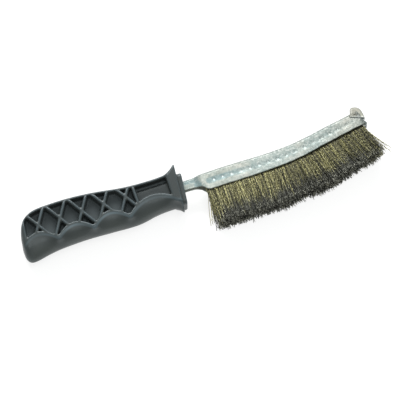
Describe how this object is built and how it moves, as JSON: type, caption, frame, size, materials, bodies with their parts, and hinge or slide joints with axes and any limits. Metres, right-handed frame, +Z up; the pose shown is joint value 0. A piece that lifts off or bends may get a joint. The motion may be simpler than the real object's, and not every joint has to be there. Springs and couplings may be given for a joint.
{
  "type": "wire brush",
  "caption": "Hand wire scratch brush: moulded finger-grip handle with ribbed pockets, curved steel channel with an end tab, and a strip of crimped wire bristles.",
  "frame": {"origin": "middle of the bounding box in X and Y, on the surface that the brush lies on its side on", "axes": "+X from the handle towards the end tab, +Y from the bristle tips towards the back of the channel, +Z up through the thickness"},
  "size_m": [0.248, 0.051, 0.0195],
  "materials": {
    "handle_plastic": "dark blue-grey moulded plastic, satin gloss",
    "galvanised_strip": "galvanised sheet steel, mottled light grey",
    "core_steel": "plain drawn steel wire",
    "bristle_wire": "brass-coated crimped steel wire, darker towards the tips"
  },
  "bodies": {
    "root": {"handle": "handle_plastic", "channel_strip": "galvanised_strip", "core_wire": "core_steel", "bristle_bundle_01": "bristle_wire", "bristle_bundle_02": "bristle_wire", "bristle_bundle_03": "bristle_wire", "bristle_bundle_04": "bristle_wire", "bristle_bundle_05": "bristle_wire", "bristle_bundle_06": "bristle_wire", "bristle_bundle_07": "bristle_wire", "bristle_bundle_08": "bristle_wire", "bristle_bundle_09": "bristle_wire", "bristle_bundle_10": "bristle_wire", "bristle_bundle_11": "bristle_wire", "bristle_bundle_12": "bristle_wire", "bristle_bundle_13": "bristle_wire", "bristle_bundle_14": "bristle_wire", "bristle_bundle_15": "bristle_wire", "bristle_bundle_16": "bristle_wire", "bristle_bundle_17": "bristle_wire", "bristle_bundle_18": "bristle_wire", "bristle_bundle_19": "bristle_wire", "bristle_bundle_20": "bristle_wire", "bristle_bundle_21": "bristle_wire", "bristle_bundle_22": "bristle_wire"}
  },
  "joints": []
}
